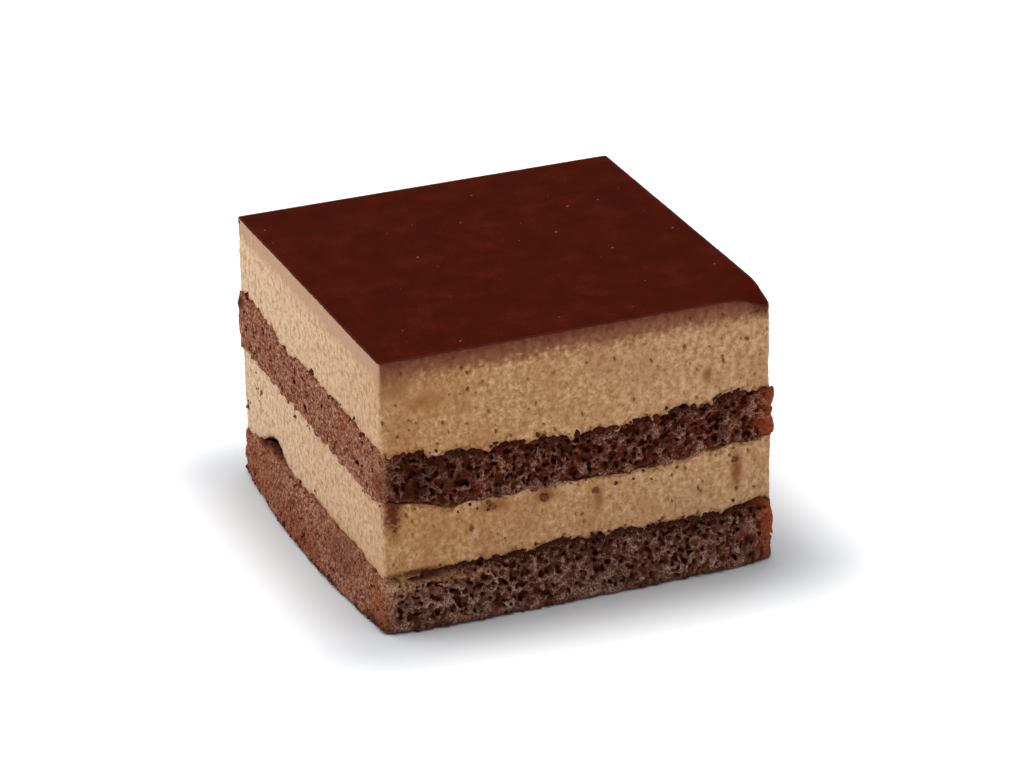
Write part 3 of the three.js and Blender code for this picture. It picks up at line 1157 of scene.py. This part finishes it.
# Painted shade: the deeper a place lies, the darker it is painted, so the ridges are pale, the
# walls behind them dark and the cells darker still.
depth = add(MATH, {0: grain, 1: 1.1, 2: hollow}, operation="MULTIPLY_ADD")
top_edge_shade = add(MATH, {0: grain, 1: -4.0, 2: below}, operation="MULTIPLY_ADD")
ridge = coat(add, linear(RIDGE_COLOUR), [
    (LOW_RIDGE_COLOUR, low),
    (BRIGHT_SPECK_COLOUR, bright, 0.42, 0.34, 0.75),
    (DARK_SPECK_COLOUR, speckle, 0.46, 0.58, 0.75),
])
wall = coat(add, linear(WALL_SHADE_COLOUR), [(LOW_WALL_SHADE_COLOUR, low)])
torn = coat(add, ridge, [
    (wall, depth, 0.35, 0.75, 1.0),
    (SOAKED_AND_SHADE_COLOUR, patches, 0.5, 0.62, 0.5),
    # Painted shade along the top edge, under the mousse that laps over it.
    (SOAKED_AND_SHADE_COLOUR, top_edge_shade, 0.2, -1.4, 0.9),
    # The orange corner: partly dry crust, partly painted light where the rounded corner catches
    # the lamps.
    (DRY_AND_LIT_COLOUR, dry_and_lit),
])
# The left side: partly a smear of cream, partly painted light from the lamp on that side. Its
# cells are painted darker, as painted shade.
left_face = coat(add, linear(LIT_LEFT_COLOUR), [
    (LEFT_PATCH_COLOUR, patches, 0.45, 0.62, 0.6),
    (LEFT_DARK_COLOUR, grain, 0.44, 0.6, 0.9),
    (LEFT_PALE_COLOUR, grain, 0.46, 0.34, 0.75),
    (LEFT_CELL_SHADE_COLOUR, depth, 0.66, 0.95, 1.0),
])
colour = coat(add, torn, [
    (left_face, wander, 1.9 - HALF, 1.1 - HALF, 1.0),
    # Painted shade along the foot, where the crumb meets the sweep.
    (FOOT_SHADE_COLOUR, height, 0.8, 0.1, 0.5),
    *smear_layers(add, place, grain, SPONGE_SMEARS),
    (SPECK_COLOUR, speckle, 0.5, 0.6, 0.5),
    # Painted shade in the deepest cells.
    (CELL_SHADE_COLOUR, depth, 0.8, 1.5, 1.0),
])
dress(sponge_material, {"Base Color": colour, **DRY_CRUMB}, bottom_sponge, upper_sponge)

# %% [markdown]
# ## Crumbs
#
# Crumbs are the same sponge, and the dry ones are more orange.

# %% Crumbs
CRUMB_COLOUR = "5e2d1b"
DRY_CRUMB_COLOUR = "a56c4e"
DARK_CRUMB_COLOUR = "461c10"
CRUMB_GRAIN = 0.4

crumb_material, add, place = new_material("cocoa_crumb_dry")
tone = add("ShaderNodeAttribute", attribute_name="tone").outputs["Fac"]
grain = add(NOISE, {
    "Vector": place, "Scale": 1 / CRUMB_GRAIN, "Detail": 3.0, "Roughness": 0.7,
})
colour = coat(add, linear(CRUMB_COLOUR), [
    (DRY_CRUMB_COLOUR, tone),
    (DARK_CRUMB_COLOUR, grain, 0.44, 0.6, 0.7),
])
dress(crumb_material, {"Base Color": colour, **DRY_CRUMB}, crumbs)

# %% [markdown]
# ## The cut side
#
# Mousse is pale because its foam scatters the light. The blade drags it into short upright
# streaks, pale where the foam is closed and dark where its air bubbles are open, and it draws
# the glaze down over the top few millimetres. The open pits are painted darker with their depth,
# as painted shade. The left side is painted paler, most towards the back, as painted sheen and
# light from the lamp on that side, and the cut is painted a little lighter towards the right, as
# painted light. Cocoa from the sponge stains the mousse that touches it. Mousse and glaze share
# this one pattern, so it runs over their seam.

# %% Colours of the cut side
MOUSSE_COLOUR = "c1905d"
PALE_COLOUR = "e2bb92"
DARK_COLOUR = "95683a"
PATCH_COLOUR = "b47b50"
# Painted sheen and light, mostly on the left side.
SHEEN_AND_LIGHT_COLOUR = "e6c6a4"
STAIN_COLOUR = "6e3c1c"
LEFT_STAIN_COLOUR = "b07a5e"
BROWN_COLOUR = "80462f"
PINK_COLOUR = "bf9479"
GLAZED_COLOUR = "5a2216"
# Painted shade in the open pits.
PIT_SHADE_COLOUR = "6f4220"
SMEARS = (
    ((-23.4, -HALF, 35.0), (3.0, 1.5, 1.7), "a0602f", 0.5),
    ((-27.6, -HALF, 38.2), (2.6, 1.5, 2.4), "80482c", 0.6),
    ((-28.5, -HALF, 19.2), (1.5, 1.5, 4.6), "5c2410", 0.95),
    ((24.6, -HALF, 15.2), (0.9, 1.5, 3.4), "84401f", 0.8),
    ((2.8, -HALF, 15.0), (0.8, 1.5, 2.4), "8a4b29", 0.7),
    ((-13.6, -HALF, 17.0), (2.6, 1.5, 1.1), "8c5230", 0.8),
    ((-5.2, -HALF, 17.0), (1.9, 1.5, 1.2), "84482a", 0.8),
    ((-16.6, -HALF, 17.9), (1.5, 1.5, 0.8), "d2a680", 0.65),
    ((-9.6, -HALF, 17.8), (1.6, 1.5, 0.9), "d2a680", 0.65),
    ((-1.6, -HALF, 17.6), (1.4, 1.5, 0.9), "d2a680", 0.55),
    # Painted shade in the crack above the bottom sponge.
    ((-25.6, -HALF, 8.9), (4.6, 1.5, 0.6), "4e1f0a", 0.9),
    ((20.0, -HALF, 31.0), (0.8, 1.5, 1.3), "7c4a2a", 0.7),
    ((30.0, -30.0, 41.0), (4.0, 4.0, 2.6), "4a1606", 0.95),
)

# %% Pattern of the cut side
STREAK_STRETCH = (0.9, 0.9, 0.65)
# Widths in mm: seven grains in 5 mm, and a patch.
MOUSSE_GRAIN = 5 / 7
MOUSSE_PATCH = 6.25
BAND_ENDS = HEIGHT - 2.0
BAND_FULL = HEIGHT - 0.2
DARK_BAND_ENDS = HEIGHT
DARK_BAND_FULL = HEIGHT + 2.0


def cut_colour(add, place):
    """The colour of a cut side of mousse, with the glaze drawn down over its top."""
    x, y, height = add(AXES, {0: place}).outputs
    hollow = add("ShaderNodeAttribute", attribute_name="hollow").outputs["Fac"]
    near = add("ShaderNodeAttribute", attribute_name="near_sponge").outputs["Fac"]
    upright = add(VECTOR, {0: place, 1: STREAK_STRETCH}, operation="MULTIPLY")
    streaks = add(NOISE, {"Vector": upright, "Scale": 1.0, "Detail": 2.0, "Roughness": 0.6})
    grain = add(NOISE, {
        "Vector": place, "Scale": 1 / MOUSSE_GRAIN, "Detail": 4.0, "Roughness": 0.72,
    })
    patches = add(NOISE, {"Vector": place, "Scale": 1 / MOUSSE_PATCH, "Detail": 3.0})

    # The left side, and how much painted sheen and light each place gets: most on the left
    # towards the back, and a little towards the right.
    is_left = add(RAMP, {"Value": x, "From Min": 0.4 - HALF, "From Max": 0.15 - HALF})
    sheen_to_back = add(RAMP, {
        "Value": y, "From Min": -HALF, "From Max": HALF, "To Min": 0.42, "To Max": 0.9,
    })
    left_sheen_and_light = add(MATH, {0: is_left, 1: sheen_to_back}, operation="MULTIPLY")
    light_to_right = add(RAMP, {"Value": x, "From Min": -20.0, "From Max": 15.0, "To Max": 0.18})
    sheen_and_light = add(MATH, {0: left_sheen_and_light, 1: light_to_right}, operation="MAXIMUM")

    # The glaze is drawn down further in some places than in others. Streaks and grain add
    # about two millimetres to the height.
    streaked_top = add(MATH, {0: streaks, 1: 2.4, 2: height}, operation="MULTIPLY_ADD")
    top = add(MATH, {0: grain, 1: 1.6, 2: streaked_top}, operation="MULTIPLY_ADD")
    glazed = add(RAMP, {
        "Value": top, "From Min": DARK_BAND_ENDS, "From Max": DARK_BAND_FULL, "To Max": 0.8,
    })
    not_left = add(MATH, {0: 1.0, 1: is_left}, operation="SUBTRACT")
    dark = add(MATH, {0: glazed, 1: not_left}, operation="MULTIPLY")
    band = coat(add, linear(BROWN_COLOUR), [(PINK_COLOUR, is_left)])

    blotchy = add(MATH, {0: grain, 1: 1.3, 2: near}, operation="MULTIPLY_ADD")
    stain = coat(add, linear(STAIN_COLOUR), [(LEFT_STAIN_COLOUR, is_left)])
    return coat(add, linear(MOUSSE_COLOUR), [
        (PALE_COLOUR, streaks, 0.48, 0.32, 0.5),
        (PALE_COLOUR, grain, 0.49, 0.32, 0.8),
        (PATCH_COLOUR, patches, 0.46, 0.64, 0.6),
        # Painted sheen and light: on the left, more towards the back, and a little towards the
        # right.
        (SHEEN_AND_LIGHT_COLOUR, sheen_and_light),
        (DARK_COLOUR, streaks, 0.5, 0.68, 0.5),
        (DARK_COLOUR, grain, 0.5, 0.68, 0.8),
        (stain, blotchy, 1.35, 1.7, 0.75),
        (band, top, BAND_ENDS, BAND_FULL, 0.85),
        (GLAZED_COLOUR, dark),
        # Painted shade in the open pits, deeper ones darker.
        (PIT_SHADE_COLOUR, hollow, 0.02, 0.2, 0.75),
        *smear_layers(add, place, grain, SMEARS),
    ])

# %% [markdown]
# ## Coffee mousse
#
# Mousse is fatty foam, so some light goes into it and comes out again, and it has hardly any
# sheen.

# %% Coffee mousse
mousse_material, add, place = new_material("coffee_mousse_set_cut")
dress(mousse_material, {
    "Base Color": cut_colour(add, place),
    "Roughness": 0.55,
    "IOR": 1.45,
    "Specular IOR Level": 0.05,
    "Subsurface Weight": 0.12,
    "Subsurface Radius": (1.0, 0.6, 0.35),
    "Subsurface Scale": 0.6 * MM,
}, lower_mousse, upper_mousse)

# %% [markdown]
# ## Chocolate glaze
#
# Glaze is dark chocolate with gelatine, which sets with a smooth half-gloss top. The knife
# leaves its top edge matt, and its cut face is wiped over with mousse. The chocolate is not
# the same all over, and a few tiny bubbles have set in its skin.

# %% Chocolate glaze
GLAZE_COLOUR = "4a1305"
RED_GLAZE_COLOUR = "5a1a0a"
DARK_GLAZE_COLOUR = "3c1208"
BUBBLE_COLOUR = "a0675a"
# Widths in mm: 13 streaks in 10 mm, and 11 clouds in 50 mm.
GLAZE_STREAK = 10 / 13
GLAZE_CLOUD = 50 / 11
# The bubbles' spacing and radii in mm. Most radii come out below zero, which gives no bubble.
BUBBLE_SPACING = 5.5
BUBBLE_RADII = (-0.35, 0.27)
BUBBLE_EDGE = 0.15
EDGE_MATT = 0.36
GLAZE_ROUGHNESS = 0.2
CUT_ROUGHNESS = 0.9

glaze_material, add, place = new_material("chocolate_glaze_poured_set")
streaks = add(NOISE, {
    "Vector": place, "Scale": 1 / GLAZE_STREAK, "Detail": 3.0, "Roughness": 0.65,
})
clouds = add(NOISE, {
    "Vector": place, "Scale": 1 / GLAZE_CLOUD, "Detail": 5.0, "Roughness": 0.7,
})
wall = add("ShaderNodeAttribute", attribute_name="wall").outputs["Fac"]
ragged_wall = add(MATH, {0: streaks, 1: 0.6, 2: wall}, operation="MULTIPLY_ADD")
bubbles, size = sized_cells(
    add, place, BUBBLE_SPACING, *BUBBLE_RADII, voronoi_dimensions="2D"
)
in_bubble = add(MATH, {0: bubbles, 1: -BUBBLE_SPACING, 2: size}, operation="MULTIPLY_ADD")
colour = coat(add, linear(GLAZE_COLOUR), [
    (RED_GLAZE_COLOUR, clouds, 0.5, 0.66, 0.6),
    (DARK_GLAZE_COLOUR, clouds, 0.5, 0.34, 0.6),
    (BUBBLE_COLOUR, in_bubble, 0.0, BUBBLE_EDGE, 0.7),
    (cut_colour(add, place), ragged_wall, 0.9, 1.2, 1.0),
])

across_x, across_y, _ = add(AXES, {0: add(VECTOR, {0: place}, operation="ABSOLUTE")}).outputs
furthest = add(MATH, {0: across_x, 1: across_y}, operation="MAXIMUM")
roughness = add(RAMP, {
    "Value": furthest, "From Min": HALF - EDGE_MATT, "From Max": HALF - EDGE_MATT / 2,
    "To Min": GLAZE_ROUGHNESS, "To Max": CUT_ROUGHNESS,
})
dress(glaze_material, {
    "Base Color": colour, "Roughness": roughness, "IOR": 1.46, "Specular IOR Level": 0.2,
}, glaze)

# %% [markdown]
# ## Table and light
#
# The cake stands on a white sweep in a white room. The sweep throws so much light back that
# the sides of the cake are nearly as bright as its top would be, and only a soft shadow is
# left around the base: the sweep's own glow fades towards the cake, and it rises again far
# away, where the lamps don't reach. The wall behind is in shade above the level of a low white
# edge, which is what keeps the glaze dark: its top mirrors the part of the room across the
# cake.

# %% Sweep
WHITE = (1, 1, 1, 1)
PAPER = (0.8, 0.82, 0.85, 1)
SHADOW_SHIFT = (1.0, 0.5, 0)
# The glow near the cake and the one far away: where each begins, where it is full, in mm, and
# its strength.
GLOWS = ((1.0, 21.0, 0.5), (350.0, 1100.0, 0.6))

bpy.ops.mesh.primitive_plane_add(size=40, location=(0, 0, 0))
sweep = bpy.context.object
sweep.name = "sweep"
sweep_material, add, place = new_material("paper_white_matt")
shifted = add(VECTOR, {0: place, 1: SHADOW_SHIFT}, operation="ADD")
_, away = past_square(add, shifted, (HALF, HALF, 0))
rings = [
    add(RAMP, {
        "Value": away, "From Min": begins, "From Max": full, "To Min": 0.0, "To Max": strength,
    }, interpolation_type="SMOOTHSTEP")
    for begins, full, strength in GLOWS
]
glow = add(MATH, dict(enumerate(rings)), operation="ADD")
dress(sweep_material, {
    "Base Color": PAPER,
    "Roughness": 0.9,
    "Specular IOR Level": 0.0,
    "Emission Color": WHITE,
    "Emission Strength": glow,
}, sweep)

# %% Room
EDGE_RISE = math.radians(2.5)
SHADE_RISE = math.radians(6)

world = bpy.data.worlds.new("room")
bpy.context.scene.world = world
world.use_nodes = True
world.node_tree.nodes.clear()
add = partial(add_node, world.node_tree)
rise = add(AXES, {0: add("ShaderNodeTexCoord").outputs["Generated"]}).outputs[2]
level = add(RAMP, {
    "Value": rise, "From Min": math.sin(EDGE_RISE), "From Max": math.sin(SHADE_RISE),
    "To Min": 1.1, "To Max": 0.02,
})
background = add("ShaderNodeBackground", {"Color": WHITE, "Strength": level})
add("ShaderNodeOutputWorld", {0: background})
print("the room is in shade from", round(math.degrees(SHADE_RISE)), "degrees up")


# %% Lamps
def area_light(name, azimuth, elevation, distance, size, power, tint):
    """A square lamp that looks at the cake. Azimuth 0 is in front, 90 to the right."""
    turn = math.radians(azimuth)
    rise = math.radians(elevation)
    out = math.cos(rise)
    way = Vector((math.sin(turn) * out, -math.cos(turn) * out, math.sin(rise)))
    aim = MIDDLE * MM + Vector((0, 0, HEIGHT / 2 * MM))
    bpy.ops.object.light_add(type="AREA", location=aim + way * distance)
    lamp = bpy.context.object
    lamp.name = name
    lamp.data.shape = "SQUARE"
    lamp.data.size = size
    lamp.data.energy = power
    lamp.data.color = tint
    lamp.rotation_euler = way.to_track_quat("Z", "Y").to_euler()
    print(name, "lamp", power, "W")


WARM = (1, 0.99, 0.98)
COOL = (0.97, 0.99, 1)
area_light("key", -118, 45, distance=0.9, size=0.5, power=3.2, tint=WARM)
area_light("top", 172, 80, distance=1.0, size=0.7, power=7, tint=COOL)
area_light("front", 25, 50, distance=1.2, size=1.0, power=3.2, tint=COOL)

# %% [markdown]
# ## Camera
#
# A long lens from far away keeps the upright edges of the cake nearly parallel. The camera
# looks down from the front left, so two cut sides and the top show, and it leans over by a
# degree. Its seat is worked out from the height of the cake.

# %% Camera
AZIMUTH = math.radians(-21.6)
ELEVATION = math.radians(24.2)
ROLL = math.radians(-1.2)
DISTANCE = 15.95 * HEIGHT * MM
SIDEWAYS = 0.0395 * HEIGHT * MM
UPWARDS = 0.4565 * HEIGHT * MM
LENS = 157

back = Vector((
    math.sin(AZIMUTH) * math.cos(ELEVATION),
    -math.cos(AZIMUTH) * math.cos(ELEVATION),
    math.sin(ELEVATION),
))
right = Vector((math.cos(AZIMUTH), math.sin(AZIMUTH), 0))
up = back.cross(right)
seat = MIDDLE * MM + back * DISTANCE + right * SIDEWAYS + up * UPWARDS
rolled_right = right * math.cos(ROLL) + up * math.sin(ROLL)
rolled_up = up * math.cos(ROLL) - right * math.sin(ROLL)
turned = Matrix((rolled_right, rolled_up, back)).transposed().to_4x4()
bpy.ops.object.camera_add()
camera = bpy.context.object
camera.matrix_world = Matrix.Translation(seat) @ turned
camera.data.lens = LENS
camera.data.sensor_width = 36
camera.data.clip_start = 0.01
bpy.context.scene.camera = camera
bpy.context.scene.view_settings.view_transform = "Standard"
print("camera", round(DISTANCE, 3), "m away, lens", LENS, "mm")
